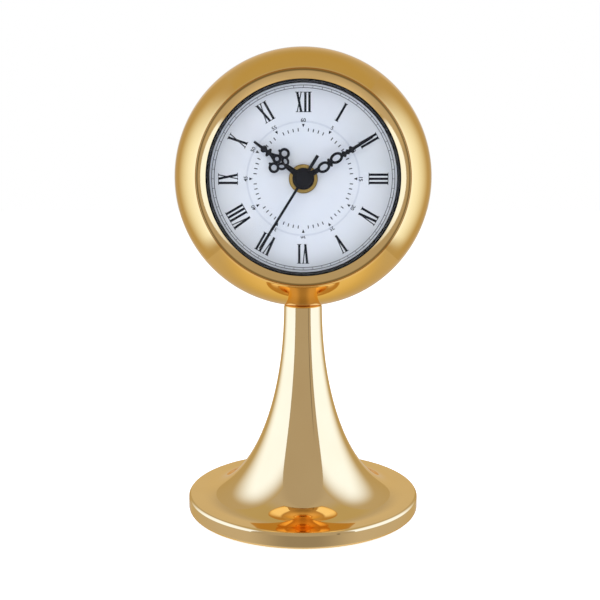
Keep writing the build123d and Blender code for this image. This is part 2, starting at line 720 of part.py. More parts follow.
def train_bridge():
    """Plate between the two halves of the train, with bearings and feet for the stator."""
    inner = BAY_LENGTH / 2 - BRIDGE_GAP
    plate = panel(-inner, inner, TRAIN_BOTTOM + BRIDGE_GAP, TRAIN_TOP - BRIDGE_GAP)
    for place in POST_PLACES:
        plate -= Pos(*place) * Rectangle(2 * POST_INSET, 2 * POST_INSET)
    bridge = slab(plate, S_BRIDGE, S_BRIDGE_BACK)
    for axis in (CENTRE_AXIS, THIRD_AXIS, INTERMEDIATE_AXIS, ROTOR_AXIS):
        bridge -= rod(axis, ARBOR_RADIUS + RUNNING_FIT, S_BRIDGE, S_BRIDGE_BACK)
    bridge -= rod(SETTING_AXIS, KNOB_SHAFT_RADIUS + RUNNING_FIT, S_BRIDGE, S_BRIDGE_BACK)
    for place in standoff_places():
        bridge += rod(place, STANDOFF_RADIUS, S_BRIDGE_BACK, S_STATOR)
    return bridge


# Stepping motor and electronics


def stator():
    """Soft iron plate around the rotor, with two legs up to the coil's core."""
    x, z = ROTOR_AXIS
    half = COIL_SPAN / 2
    plate = panel(x - half, x + half, z - STATOR_REACH, COIL_Z + CORE_WIDTH / 2)
    plate -= panel(x - half + STATOR_LEG, x + half - STATOR_LEG, z + STATOR_REACH, COIL_Z + CORE_WIDTH)
    plate -= Pos(x, z) * Circle(STATOR_HOLE)
    plate -= Pos(*INTERMEDIATE_AXIS) * Circle(tip_radius(PINION_TEETH, STEP_MODULE) + RIM_GAP)
    plate -= Circle(tip_radius(SECOND_TEETH, STEP_MODULE) + RIM_GAP)
    return slab(plate, S_STATOR, S_STATOR + STATOR_THICKNESS)


def across(radius, left, right):
    """Round bar along the coil."""
    bar = Cylinder(radius, right - left, rotation=(0, 90, 0))
    return Pos((left + right) / 2, S_COIL, COIL_Z) * bar


def core_bar(gap):
    size = (COIL_SPAN, CORE_THICKNESS + 2 * gap, CORE_WIDTH + 2 * gap)
    return Pos(ROTOR_AXIS[0], S_COIL, COIL_Z) * Box(*size)


def coil_core():
    return core_bar(0)


def bobbin_radius():
    """Radius of the spool's barrel, just around the corners of the core."""
    return sqrt(CORE_THICKNESS**2 + CORE_WIDTH**2) / 2 + BOBBIN_WALL


def coil_bobbin():
    left = ROTOR_AXIS[0] - COIL_LENGTH / 2 + COIL_GAP
    right = ROTOR_AXIS[0] + COIL_LENGTH / 2 - COIL_GAP
    spool = across(bobbin_radius(), left, right)
    spool += across(COIL_RADIUS, left, left + BOBBIN_FLANGE)
    spool += across(COIL_RADIUS, right - BOBBIN_FLANGE, right)
    return spool - core_bar(SEAT_GAP)


def coil_winding():
    reach = COIL_LENGTH / 2 - COIL_GAP - BOBBIN_FLANGE - SEAT_GAP
    left = ROTOR_AXIS[0] - reach
    right = ROTOR_AXIS[0] + reach
    return across(COIL_RADIUS - COIL_GAP, left, right) - across(bobbin_radius() + SEAT_GAP, left, right)


def circuit_board():
    board = Pos(*BOARD_PLACE) * Rectangle(BOARD_WIDTH, BOARD_HEIGHT)
    front = S_COVER - BOARD_THICKNESS
    chip_z = BOARD_PLACE[1] - BOARD_HEIGHT / 2 + CHIP_SIZE
    chip = Pos(BOARD_PLACE[0], chip_z) * Rectangle(CHIP_SIZE, CHIP_SIZE)
    return slab(board, front, S_COVER) + slab(chip, front - CHIP_HEIGHT, front)


def quartz_can():
    can = Cylinder(QUARTZ_RADIUS, QUARTZ_LENGTH, rotation=(0, 90, 0))
    depth = S_COVER - BOARD_THICKNESS - QUARTZ_RADIUS - SEAT_GAP
    return Pos(BOARD_PLACE[0], depth, BOARD_PLACE[1] + BOARD_HEIGHT / 2 - 2 * QUARTZ_RADIUS) * can


# Going train


def arbor(axis, front, back=S_COVER + PIVOT_DEPTH - RUNNING_FIT):
    return rod(axis, ARBOR_RADIUS, front, back)


def rotor():
    magnet = rod(ROTOR_AXIS, MAGNET_RADIUS, S_MAGNET, S_MAGNET + MAGNET_LENGTH)
    front = S_INTERMEDIATE - PINION_REACH
    back = S_INTERMEDIATE + WHEEL_THICKNESS + PINION_REACH
    pinion = wheel(ROTOR_AXIS, PINION_TEETH, STEP_MODULE, ROTOR_PHASE, front, back)
    return magnet + pinion + arbor(ROTOR_AXIS, S_BRIDGE)


def intermediate_wheel():
    axis = INTERMEDIATE_AXIS
    back = S_INTERMEDIATE + WHEEL_THICKNESS
    front = S_SECOND - PINION_REACH
    disc = wheel(axis, INTERMEDIATE_TEETH, STEP_MODULE, 0, S_INTERMEDIATE, back)
    pinion = wheel(axis, PINION_TEETH, STEP_MODULE, INTERMEDIATE_PHASE, front, S_INTERMEDIATE)
    return disc + pinion + arbor(axis, S_BRIDGE)


def second_wheel():
    disc = wheel(CENTRE_AXIS, SECOND_TEETH, STEP_MODULE, 0, S_SECOND, S_SECOND + WHEEL_THICKNESS)
    pinion = wheel(CENTRE_AXIS, PINION_TEETH, THIRD_MODULE, 0, S_THIRD - PINION_REACH, S_SECOND)
    back = S_COVER + PIVOT_DEPTH - RUNNING_FIT
    return disc + pinion + rod(CENTRE_AXIS, SECOND_ARBOR_RADIUS, S_SECOND_HAND, back)


def third_wheel():
    disc = wheel(THIRD_AXIS, THIRD_TEETH, THIRD_MODULE, THIRD_PHASE, S_THIRD, S_THIRD + WHEEL_THICKNESS)
    front = S_CENTRE - PINION_REACH
    back = S_CENTRE + WHEEL_THICKNESS + PINION_REACH
    pinion = wheel(THIRD_AXIS, PINION_TEETH, CENTRE_MODULE, 0, front, back)
    return disc + pinion + arbor(THIRD_AXIS, S_INNER - PIVOT_DEPTH + RUNNING_FIT)


def centre_wheel():
    disc = wheel(CENTRE_AXIS, CENTRE_TEETH, CENTRE_MODULE, CENTRE_PHASE, S_CENTRE, S_CENTRE + WHEEL_THICKNESS)
    return disc - rod(CENTRE_AXIS, MINUTE_TUBE_RADIUS + RUNNING_FIT, S_CENTRE, S_CENTRE + WHEEL_THICKNESS)


# Motion work


def minute_arbor():
    """Hollow arbor with the cannon pinion, which carries the minute hand."""
    back = S_CENTRE + WHEEL_THICKNESS
    tube = rod(CENTRE_AXIS, MINUTE_TUBE_RADIUS, S_MINUTE_HAND, back)
    pinion_front = S_MOTION - PINION_REACH
    pinion_back = S_MOTION + WHEEL_THICKNESS + PINION_REACH
    tube += wheel(CENTRE_AXIS, CANNON_TEETH, MOTION_MODULE, 0, pinion_front, pinion_back)
    return tube - rod(CENTRE_AXIS, SECOND_ARBOR_RADIUS + RUNNING_FIT, S_MINUTE_HAND, back)


def clutch_washer():
    ring = Circle(CLUTCH_RADIUS) - Circle(MINUTE_TUBE_RADIUS)
    return slab(ring, S_CLUTCH, S_CLUTCH + CLUTCH_THICKNESS)


def minute_wheel():
    back = S_MOTION + WHEEL_THICKNESS
    disc = wheel(MINUTE_AXIS, MINUTE_TEETH, MOTION_MODULE, MINUTE_PHASE, S_MOTION, back)
    pinion = wheel(MINUTE_AXIS, PINION_TEETH, HOUR_MODULE, 0, S_INNER + SEAT_GAP, S_MOTION)
    return disc + pinion - rod(MINUTE_AXIS, POST_RADIUS + RUNNING_FIT, S_INNER, back)


def hour_wheel():
    """Hollow arbor with the last wheel, which carries the hour hand."""
    back = S_HOUR_WHEEL + WHEEL_THICKNESS
    tube = rod(CENTRE_AXIS, HOUR_TUBE_RADIUS, S_HOUR_HAND, back)
    tube += wheel(CENTRE_AXIS, HOUR_TEETH, HOUR_MODULE, HOUR_PHASE, S_HOUR_WHEEL, back)
    return tube - rod(CENTRE_AXIS, MINUTE_TUBE_RADIUS + RUNNING_FIT, S_HOUR_HAND, back)


def setting_knob():
    """Shaft with a pinion on the minute wheel and a fluted knob behind the cover."""
    front = S_BACK + KNOB_CLEARANCE
    knob = wheel(SETTING_AXIS, KNOB_TEETH, KNOB_MODULE, 0, front, front + KNOB_LENGTH)
    knob += rod(SETTING_AXIS, KNOB_RADIUS - KNOB_MODULE, front, front + KNOB_LENGTH)
    knob += rod(SETTING_AXIS, KNOB_SHAFT_RADIUS, S_INNER - PIVOT_DEPTH + RUNNING_FIT, front)
    pinion_front = S_MOTION - PINION_REACH
    pinion_back = S_MOTION + WHEEL_THICKNESS + PINION_REACH
    return knob + wheel(SETTING_AXIS, CANNON_TEETH, MOTION_MODULE, SETTING_PHASE, pinion_front, pinion_back)


# Battery and contacts


def along_bay(radius, left, right):
    """Round bar along the battery bay."""
    bar = Cylinder(radius, right - left, rotation=(0, 90, 0))
    return Pos((left + right) / 2, S_BATTERY, BATTERY_Z) * bar


def battery():
    nub_end = BAY_LENGTH / 2 - CONTACT_ROOM
    can_end = nub_end - BATTERY_NUB_LENGTH
    can = along_bay(BATTERY_RADIUS, can_end - BATTERY_CAN_LENGTH, can_end)
    can = fillet(can.edges().filter_by(GeomType.CIRCLE), BATTERY_EDGE)
    return can + along_bay(BATTERY_NUB_RADIUS, can_end, nub_end)


def contact_plate(wall, inward):
    """Flat contact on an end wall of the bay."""
    size = Box(CONTACT_THICKNESS, CONTACT_WIDTH, CONTACT_WIDTH)
    return Pos(wall + inward * CONTACT_THICKNESS / 2, S_BATTERY, BATTERY_Z) * size


def contact_positive():
    return contact_plate(BAY_LENGTH / 2, -1)


def contact_negative():
    """Flat contact with a bowed leaf that presses on the end of the battery."""
    wall = -BAY_LENGTH / 2
    half = CONTACT_WIDTH / 2
    tip = wall + CONTACT_SPRING
    root = wall + CONTACT_THICKNESS
    bow = Polyline(
        (root, S_BATTERY - half),
        (tip, S_BATTERY - CONTACT_THICKNESS),
        (tip, S_BATTERY + CONTACT_THICKNESS),
        (root, S_BATTERY + half),
        (root, S_BATTERY + half - CONTACT_THICKNESS),
        (tip - CONTACT_THICKNESS, S_BATTERY),
        (root, S_BATTERY - half + CONTACT_THICKNESS),
        close=True,
    )
    leaf = extrude(make_face(bow), amount=half, both=True)
    return contact_plate(wall, 1) + Pos(0, 0, BATTERY_Z) * leaf


STAND_PARTS = [pedestal, base_plate, felt_pad, tie_bolt, ball_washer, ball_nut, ball_case]
INSERT_PARTS = [
    bezel,
    lens,
    lens_gasket,
    insert_cup,
    grip_ring,
    dial,
    centre_nut,
    centre_bush,
    seat_washer,
    hour_hand,
    minute_hand,
    second_hand,
    movement_case,
    movement_cover,
    cover_screws,
    train_bridge,
    stator,
    coil_core,
    coil_bobbin,
    coil_winding,
    circuit_board,
    quartz_can,
    rotor,
    intermediate_wheel,
    second_wheel,
    third_wheel,
    centre_wheel,
    minute_arbor,
    clutch_washer,
    minute_wheel,
    hour_wheel,
    setting_knob,
    battery,
    contact_positive,
    contact_negative,
]


def write(make, place):
    export_step(place * make(), f"parts/{make.__name__}.step")


os.makedirs("parts", exist_ok=True)
for make in STAND_PARTS:
    write(make, Pos(0, 0, 0))
for make in INSERT_PARTS:
    write(make, INSERT_PLACE)
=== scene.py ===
from math import asin, atan2, cos, degrees, pi, radians, sin, sqrt

import bmesh
import bpy
from mathutils import Matrix, Vector
from mathutils.geometry import delaunay_2d_cdt


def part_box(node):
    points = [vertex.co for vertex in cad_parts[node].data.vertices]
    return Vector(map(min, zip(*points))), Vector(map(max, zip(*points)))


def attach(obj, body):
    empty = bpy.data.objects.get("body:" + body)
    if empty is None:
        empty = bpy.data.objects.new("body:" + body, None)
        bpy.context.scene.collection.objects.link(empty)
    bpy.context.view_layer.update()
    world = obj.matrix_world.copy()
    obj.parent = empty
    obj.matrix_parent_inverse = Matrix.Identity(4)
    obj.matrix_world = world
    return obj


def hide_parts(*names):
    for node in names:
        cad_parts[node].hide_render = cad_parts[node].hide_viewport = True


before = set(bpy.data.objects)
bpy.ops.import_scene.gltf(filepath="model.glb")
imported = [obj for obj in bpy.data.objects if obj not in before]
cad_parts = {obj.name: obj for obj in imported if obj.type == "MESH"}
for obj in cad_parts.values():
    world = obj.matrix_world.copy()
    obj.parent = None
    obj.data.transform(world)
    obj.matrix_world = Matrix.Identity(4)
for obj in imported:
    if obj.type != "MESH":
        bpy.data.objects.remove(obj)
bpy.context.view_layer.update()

# Table clock with a polished ball on a trumpet stand. Metres, +Z up, the dial faces -Y.

MM = 0.001

# Places and sizes read from the frame
ball_low, ball_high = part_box("ball_case")
bezel_low, bezel_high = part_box("bezel")
dial_low, dial_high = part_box("dial")
stand_low, stand_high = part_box("pedestal")
plate_low, plate_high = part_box("base_plate")
felt_low, felt_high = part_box("felt_pad")
lens_low, lens_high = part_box("lens")
BALL_RADIUS = (ball_high[0] - ball_low[0]) / 2
BALL_Z = ball_high[2] - BALL_RADIUS
SEAM_Y = ball_low[1]
BEZEL_RADIUS = (bezel_high[0] - bezel_low[0]) / 2
DIAL_RADIUS = (dial_high[0] - dial_low[0]) / 2
DIAL_FACE = dial_low[1]
DIAL_BACK = dial_high[1]
BASE_RADIUS = (stand_high[0] - stand_low[0]) / 2
FOOT_BOTTOM = stand_low[2]
PLATE_RADIUS = (plate_high[0] - plate_low[0]) / 2
PLATE_TOP = plate_high[2]
FELT_RADIUS = (felt_high[0] - felt_low[0]) / 2
FELT_TOP = felt_high[2]

# Stand profile
STEM_TOP = BALL_Z - BALL_RADIUS
SEAT_RADIUS = BALL_RADIUS + 0.05 * MM
NECK_RADIUS = 8.9 * MM
NECK_HANDLE = 48.8 * MM
NECK_ROUNDING = 1.2 * MM
FLARE_RADIUS = 48.8 * MM
FLARE_HANDLE = 22.8 * MM
BASE_HEIGHT = 7.9 * MM
RIM_ROUNDING = 1.5 * MM
STAND_WALL = 3.0 * MM
STEM_CAP = 12.0 * MM
SHOULDER_WIDTH = 3.0 * MM
SLIDE_FIT = 0.1 * MM
BOLT_HOLE = 3.3 * MM
FELT_EDGE = FELT_TOP / 3

# Ball shell, whose outer face starts a few tenths of a degree behind the corner of the lip
BALL_WALL = 1.2 * MM
MOUTH_RADIUS = BEZEL_RADIUS + 0.25 * MM
LIP_RADIUS = 45.6 * MM
LIP_ROUNDING = 0.12 * MM
LIP_DEGREES = 0.3
SEAT_DEPTH = 1.6 * MM
COLLAR_RADIUS = 43.05 * MM
COLLAR_LENGTH = 8.5 * MM

# Bezel profile, depths behind the mouth of the ball
BEZEL_FACE = 4.0 * MM
BEZEL_SIDE = 0.6 * MM
BEZEL_CREST = 2.0 * MM
BEZEL_ROUND = 0.9 * MM
CREST_DROP = BEZEL_ROUND / 5
BEZEL_LIP_FRONT = 0.35 * MM
BEZEL_LIP = lens_low[1] - SEAM_Y
SKIRT_INNER = (lens_high[0] - lens_low[0]) / 2 + 0.05 * MM
SKIRT_OUTER = COLLAR_RADIUS - SLIDE_FIT
SKIRT_END = bezel_high[1] - SEAM_Y

# Dial and its print
INK_THICKNESS = 0.03 * MM
DIAL_BORE = 4.1 * MM
DIAL_BEVEL = 0.08 * MM
TRACK_CIRCLES = (39.4 * MM, 38.3 * MM)
TRACK_LINE = 0.22 * MM
TRACK_TICK = 0.17 * MM
GUIDE_RADIUS = 24.2 * MM
GUIDE_LINE = 0.8 * MM
TICK_INNER = 20.1 * MM
TICK_OUTER = 21.5 * MM
TICK_WIDTH = 0.42 * MM
MARK_TIP = 21.7 * MM
MARK_BASE = 23.2 * MM
MARK_HALF = 0.62 * MM
NUMBER_FEET = 24.0 * MM
NUMBER_SIZE = 2.25 * MM
NUMBER_WEIGHT = 0.045 * MM
NUMERAL_FEET = 28.1 * MM
NUMERAL_HEIGHT = 8.5 * MM
THICK_STROKE = 1.02 * MM
THIN_STROKE = 0.46 * MM
SERIF = 0.3 * MM
SERIF_REACH = 0.36 * MM
LETTER_I = 1.75 * MM
LETTER_WIDE = 3.5 * MM
HOURS = ("XII", "I", "II", "III", "IV", "V", "VI", "VII", "VIII", "IX", "X", "XI")
MINUTES = 60
MARK_EVERY = 5
HOUR_DEGREES = 30
MINUTE_DEGREES = 6

# Mesh fineness
SEGMENTS = 192
BALL_SEGMENTS = 256
FINE_STEPS = 48
FLARE_STEPS = 140
NECK_STEPS = 12
RIM_STEPS = 16
BALL_OUTER_STEPS = 120
BALL_INNER_STEPS = 80
BEZEL_STEPS = 24
FELT_STEPS = 6
FIGURE_STEPS = 6
SHARP_EDGE = radians(32)
TINY = 1e-7
CUT_TOLERANCE = 1e-8

# Axes that outlines are turned about: the stand's own, and the dial's at the mouth of the ball
STAND_AXIS = Matrix.Identity(4)
CLOCK_AXIS = Matrix.Translation((0, SEAM_Y, BALL_Z)) @ Matrix.Rotation(-pi / 2, 4, "X")


# Outlines and meshes


def arc(centre, radius, start, end, steps):
    """Points on an arc, angles in degrees from the first axis towards the second."""
    points = []
    for step in range(steps + 1):
        angle = radians(start + (end - start) * step / steps)
        points.append((centre[0] + radius * cos(angle), centre[1] + radius * sin(angle)))
    return points


def bezier(a, b, c, d, steps):
    """Points on a cubic curve from a to d, with b and c as its handles."""
    points = []
    for step in range(steps + 1):
        t = step / steps
        u = 1 - t
        weights = (u**3, 3 * u * u * t, 3 * u * t * t, t**3)
        points.append(tuple(sum(w * p[k] for w, p in zip(weights, (a, b, c, d))) for k in (0, 1)))
    return points


def rectangle(left, right, low, high):
    return [(left, low), (right, low), (right, high), (left, high)]


def lathe(outline, axis, segments=SEGMENTS):
    """Closed outline of radius and height, turned about an axis. Points at no radius become poles."""
    mesh = bmesh.new()
    rings = []
    for radius, height in outline:
        count = 1 if radius < TINY else segments
        ring = []
        for index in range(count):
            angle = 2 * pi * index / segments
            ring.append(mesh.verts.new(axis @ Vector((radius * cos(angle), radius * sin(angle), height))))
        rings.append(ring)
    for lower, upper in zip(rings, rings[1:] + rings[:1]):
        for index in range(segments):
            following = (index + 1) % segments
            corners = (
                lower[index % len(lower)],
                lower[following % len(lower)],
                upper[following % len(upper)],
                upper[index % len(upper)],
            )
            unique = list(dict.fromkeys(corners))
            if len(unique) > 2:
                mesh.faces.new(unique)
    return mesh


def add_piece(mesh, name, material, body, nodes=()):
    """Turns a bmesh into a piece that rides on a body, in place of the given CAD nodes."""
    bmesh.ops.recalc_face_normals(mesh, faces=mesh.faces)
    data = bpy.data.meshes.new(name)
    mesh.to_mesh(data)
    mesh.free()
    data.shade_smooth()
    data.set_sharp_from_angle(angle=SHARP_EDGE)
    data.materials.append(material)
    piece = bpy.data.objects.new(name, data)
    bpy.context.scene.collection.objects.link(piece)
    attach(piece, body)
    if nodes:
        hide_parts(*nodes)
    return piece


# Shader nodes


def new_material(name):
    """Material with a Principled shader, and its node tree."""
    material = bpy.data.materials.new(name)
    material.use_nodes = True
    tree = material.node_tree
    return material, tree, tree.nodes["Principled BSDF"]


def object_coords(tree):
    return tree.nodes.new("ShaderNodeTexCoord").outputs["Object"]


def separated(tree, vector):
    """The three parts of a vector, by the names X, Y and Z."""
    node = tree.nodes.new("ShaderNodeSeparateXYZ")
    tree.links.new(vector, node.inputs["Vector"])
    return node.outputs


def noise(tree, vector, scale, detail=4.0, roughness=0.55):
    node = tree.nodes.new("ShaderNodeTexNoise")
    node.inputs["Scale"].default_value = scale
    node.inputs["Detail"].default_value = detail
    node.inputs["Roughness"].default_value = roughness
    tree.links.new(vector, node.inputs["Vector"])
    return node.outputs["Fac"]


def stretched(tree, vector, scale):
    node = tree.nodes.new("ShaderNodeMapping")
    node.inputs["Scale"].default_value = scale
    tree.links.new(vector, node.inputs["Vector"])
    return node.outputs["Vector"]


def ramp(tree, factor, low_colour, high_colour, low=0.0, high=1.0):
    """Colour that runs from one to another as a factor rises from low to high."""
    node = tree.nodes.new("ShaderNodeValToRGB")
    first, last = node.color_ramp.elements
    first.position, first.color = low, (*low_colour, 1)
    last.position, last.color = high, (*high_colour, 1)
    tree.links.new(factor, node.inputs["Fac"])
    return node.outputs["Color"]


def map_range(tree, value, start, end, low, high, interpolation="LINEAR"):
    """Value that runs from low to high as another runs from start to end."""
    node = tree.nodes.new("ShaderNodeMapRange")
    node.interpolation_type = interpolation
    for name, number in (("From Min", start), ("From Max", end), ("To Min", low), ("To Max", high)):
        node.inputs[name].default_value = number
    tree.links.new(value, node.inputs["Value"])
    return node.outputs["Result"]


def soft_step(tree, value, start, end, low=0.0, high=1.0):
    return map_range(tree, value, start, end, low, high, "SMOOTHSTEP")


def math_node(tree, operation, *values):
    node = tree.nodes.new("ShaderNodeMath")
    node.operation = operation
    for socket, value in zip(node.inputs, values):
        if isinstance(value, (int, float)):
            socket.default_value = value
        else:
            tree.links.new(value, socket)
    return node.outputs["Value"]


def product(tree, factors):
    result = factors[0]
    for factor in factors[1:]:
        result = math_node(tree, "MULTIPLY", result, factor)
    return result


def bump(tree, shader, height, distance, strength=1.0):
    node = tree.nodes.new("ShaderNodeBump")
    node.inputs["Distance"].default_value = distance
    node.inputs["Strength"].default_value = strength
    tree.links.new(height, node.inputs["Height"])
    tree.links.new(node.outputs["Normal"], shader.inputs["Normal"])


# Materials

NOISE_LOW = 0.25
NOISE_HIGH = 0.75
MOTTLE_LOW = 0.3
MOTTLE_HIGH = 0.7
GRAIN_RATIO = 6
GOLD_EDGE = (1.0, 0.82, 0.52, 1)
GOLD_TINT_SCALE = 45
GOLD_SMEAR_SCALE = 160
GOLD_WAVE_SCALE = 70
GOLD_WAVE_HEIGHT = 0.02 * MM
GOLD_WAVE_STRENGTH = 0.35
# Painted shade in the bezel's joint with the ball: its dark tone, its depth and its radii
JOINT_SHADE_TONE = (0.42, 0.38, 0.28)
JOINT_DEPTH = 1.0 * MM
BEZEL_SHADE_RADII = (43.7 * MM, 44.35 * MM)
GLASS_IOR = 1.17
GLASS_TINT_SCALE = 60
GLASS_TINTS = ((0.955, 0.975, 0.97), (0.985, 0.99, 0.99))


def mottle(tree, coords, scale, pale, deep, detail=4.0):
    """Colour that wanders between two tones."""
    return ramp(tree, noise(tree, coords, scale, detail), deep, pale, MOTTLE_LOW, MOTTLE_HIGH)


def uneven(tree, factor, low, high):
    """Roughness that wanders between two limits with a noise."""
    return map_range(tree, factor, NOISE_LOW, NOISE_HIGH, low, high)


def surface(name, pale, deep, scale, rough, relief, metallic=0.0, stretch=None, shine=0.5):
    """Material mottled between two colours, with uneven gloss and a fine relief."""
    material, tree, shader = new_material(name)
    coords = object_coords(tree)
    if stretch:
        coords = stretched(tree, coords, stretch)
    tree.links.new(mottle(tree, coords, scale, pale, deep), shader.inputs["Base Color"])
    grain = noise(tree, coords, scale * GRAIN_RATIO, detail=6.0)
    tree.links.new(uneven(tree, grain, *rough), shader.inputs["Roughness"])
    bump(tree, shader, grain, relief)
    shader.inputs["Metallic"].default_value = metallic
    shader.inputs["Specular IOR Level"].default_value = shine
    return material


def joint_shade(tree, coords, start, end):
    """Mask of the painted shade in the joint: a factor that rises between two radii about the dial's
    axis, in front of the ball's mouth.
    """
    parts = separated(tree, coords)
    up = math_node(tree, "SUBTRACT", parts["Z"], BALL_Z)
    squares = math_node(tree, "MULTIPLY_ADD", up, up, math_node(tree, "POWER", parts["X"], 2))
    radius = math_node(tree, "SQRT", squares)
    front = soft_step(tree, parts["Y"], SEAM_Y, SEAM_Y + JOINT_DEPTH, 1, 0)
    return math_node(tree, "MULTIPLY", soft_step(tree, radius, start, end), front)


def darkened(tree, colour, factor):
    """Colour that darkens towards the tone of the painted shade as a factor rises."""
    node = tree.nodes.new("ShaderNodeMix")
    node.data_type = "RGBA"
    node.blend_type = "MULTIPLY"
    node.inputs["Factor"].default_value = 1.0
    tree.links.new(colour, node.inputs["A"])
    tree.links.new(ramp(tree, factor, (1, 1, 1), JOINT_SHADE_TONE), node.inputs["B"])
    return node.outputs["Result"]


def polished_gold(name, pale, deep, rough, joint=None):
    """Bright plated metal: faint tint changes, a trace of smears and a slight waviness, with painted
    shade in the joint where radii are given.
    """
    material, tree, shader = new_material(name)
    coords = object_coords(tree)
    colour = mottle(tree, coords, GOLD_TINT_SCALE, pale, deep, detail=2.0)
    # Painted shade: the colour darkens in a ring at the joint
    if joint:
        colour = darkened(tree, colour, joint_shade(tree, coords, *joint))
    tree.links.new(colour, shader.inputs["Base Color"])
    smears = noise(tree, coords, GOLD_SMEAR_SCALE, detail=5.0)
    tree.links.new(uneven(tree, smears, *rough), shader.inputs["Roughness"])
    wave = noise(tree, coords, GOLD_WAVE_SCALE, detail=1.0)
    bump(tree, shader, wave, GOLD_WAVE_HEIGHT, GOLD_WAVE_STRENGTH)
    shader.inputs["Metallic"].default_value = 1.0
    shader.inputs["Specular Tint"].default_value = GOLD_EDGE
    return material


def clear_glass(name):
    """Flat coated glass with little glare, which lets the lamps through to the dial."""
    material, tree, shader = new_material(name)
    shader.inputs["Transmission Weight"].default_value = 1.0
    shader.inputs["IOR"].default_value = GLASS_IOR
    shader.inputs["Roughness"].default_value = 0.0
    tint = noise(tree, object_coords(tree), GLASS_TINT_SCALE)
    colour = ramp(tree, tint, *GLASS_TINTS, MOTTLE_LOW, MOTTLE_HIGH)
    tree.links.new(colour, shader.inputs["Base Color"])
    clear = tree.nodes.new("ShaderNodeBsdfTransparent")
    path = tree.nodes.new("ShaderNodeLightPath")
    mix = tree.nodes.new("ShaderNodeMixShader")
    tree.links.new(path.outputs["Is Shadow Ray"], mix.inputs["Fac"])
    tree.links.new(shader.outputs["BSDF"], mix.inputs[1])
    tree.links.new(clear.outputs["BSDF"], mix.inputs[2])
    tree.links.new(mix.outputs["Shader"], tree.nodes["Material Output"].inputs["Surface"])
    return material


gold_stand = polished_gold(
    "gold_stand",
    pale=(0.97, 0.67, 0.31),
    deep=(0.94, 0.64, 0.29),
    rough=(0.03, 0.06),
)
gold_ball = polished_gold(
    "gold_ball",
    pale=(0.97, 0.61, 0.21),
    deep=(0.94, 0.58, 0.195),
    rough=(0.03, 0.06),
)
# The bezel has painted shade in its joint with the ball
gold_bezel = polished_gold(
    "gold_bezel",
    pale=(0.97, 0.64, 0.26),
    deep=(0.94, 0.61, 0.24),
    rough=(0.04, 0.07),
    joint=BEZEL_SHADE_RADII,
)
dial_enamel = surface(
    "dial_enamel",
    pale=(0.80, 0.81, 0.84),
    deep=(0.775, 0.785, 0.815),
    scale=120,
    rough=(0.38, 0.48),
    relief=0.002 * MM,
)
ink_black = surface(
    "ink_black",
    pale=(0.009, 0.010, 0.017),
    deep=(0.006, 0.007, 0.012),
    scale=900,
    rough=(0.45, 0.6),
    relief=0.002 * MM,
    shine=0.15,
)
ink_grey = surface(
    "ink_grey",
    pale=(0.70, 0.715, 0.76),
    deep=(0.66, 0.675, 0.72),
    scale=900,
    rough=(0.4, 0.5),
    relief=0.002 * MM,
)
hand_lacquer = surface(
    "hand_lacquer",
    pale=(0.007, 0.007, 0.011),
    deep=(0.003, 0.003, 0.005),
    scale=700,
    rough=(0.28, 0.4),
    relief=0.002 * MM,
    shine=0.15,
)
nut_brass = surface(
    "nut_brass",
    pale=(0.44, 0.29, 0.09),
    deep=(0.30, 0.20, 0.06),
    scale=500,
    rough=(0.24, 0.38),
    relief=0.006 * MM,
    metallic=1.0,
    stretch=(1, 14, 1),
)
black_plastic = surface(
    "black_plastic",
    pale=(0.009, 0.009, 0.010),
    deep=(0.005, 0.005, 0.006),
    scale=900,
    rough=(0.55, 0.7),
    relief=0.01 * MM,
    shine=0.12,
)
case_plastic = surface(
    "case_plastic",
    pale=(0.030, 0.030, 0.032),
    deep=(0.018, 0.018, 0.020),
    scale=1500,
    rough=(0.42, 0.6),
    relief=0.02 * MM,
)
rubber = surface(
    "rubber",
    pale=(0.012, 0.012, 0.013),
    deep=(0.006, 0.006, 0.007),
    scale=1200,
    rough=(0.65, 0.85),
    relief=0.02 * MM,
    shine=0.15,
)
steel = surface(
    "steel",
    pale=(0.62, 0.62, 0.60),
    deep=(0.50, 0.51, 0.52),
    scale=260,
    rough=(0.25, 0.42),
    relief=0.008 * MM,
    metallic=1.0,
)
bridge_plastic = surface(
    "bridge_plastic",
    pale=(0.80, 0.78, 0.71),
    deep=(0.74, 0.72, 0.65),
    scale=800,
    rough=(0.4, 0.55),
    relief=0.01 * MM,
)
gear_plastic = surface(
    "gear_plastic",
    pale=(0.86, 0.85, 0.81),
    deep=(0.80, 0.79, 0.75),
    scale=800,
    rough=(0.3, 0.42),
    relief=0.006 * MM,
)
knob_plastic = surface(
    "knob_plastic",
    pale=(0.74, 0.74, 0.72),
    deep=(0.68, 0.68, 0.66),
    scale=900,
    rough=(0.38, 0.5),
    relief=0.012 * MM,
)
magnet = surface(
    "magnet",
    pale=(0.16, 0.16, 0.17),
    deep=(0.10, 0.10, 0.11),
    scale=1400,
    rough=(0.35, 0.55),
    relief=0.015 * MM,
    metallic=0.6,
)
soft_iron = surface(
    "soft_iron",
    pale=(0.46, 0.45, 0.43),
    deep=(0.36, 0.35, 0.33),
    scale=500,
    rough=(0.3, 0.5),
    relief=0.01 * MM,
    metallic=1.0,
    stretch=(8, 1, 1),
)
copper = surface(
    "copper",
    pale=(0.70, 0.30, 0.13),
    deep=(0.46, 0.17, 0.06),
    scale=700,
    rough=(0.2, 0.35),
    relief=0.03 * MM,
    metallic=1.0,
    stretch=(22, 1, 1),
)
board = surface(
    "board",
    pale=(0.07, 0.22, 0.09),
    deep=(0.04, 0.15, 0.06),
    scale=600,
    rough=(0.25, 0.4),
    relief=0.012 * MM,
)
can_metal = surface(
    "can_metal",
    pale=(0.72, 0.72, 0.72),
    deep=(0.62, 0.62, 0.63),
    scale=400,
    rough=(0.12, 0.25),
    relief=0.004 * MM,
    metallic=1.0,
    stretch=(6, 1, 1),
)
battery_skin = surface(
    "battery_skin",
    pale=(0.10, 0.11, 0.13),
    deep=(0.07, 0.08, 0.10),
    scale=200,
    rough=(0.22, 0.32),
    relief=0.004 * MM,
)
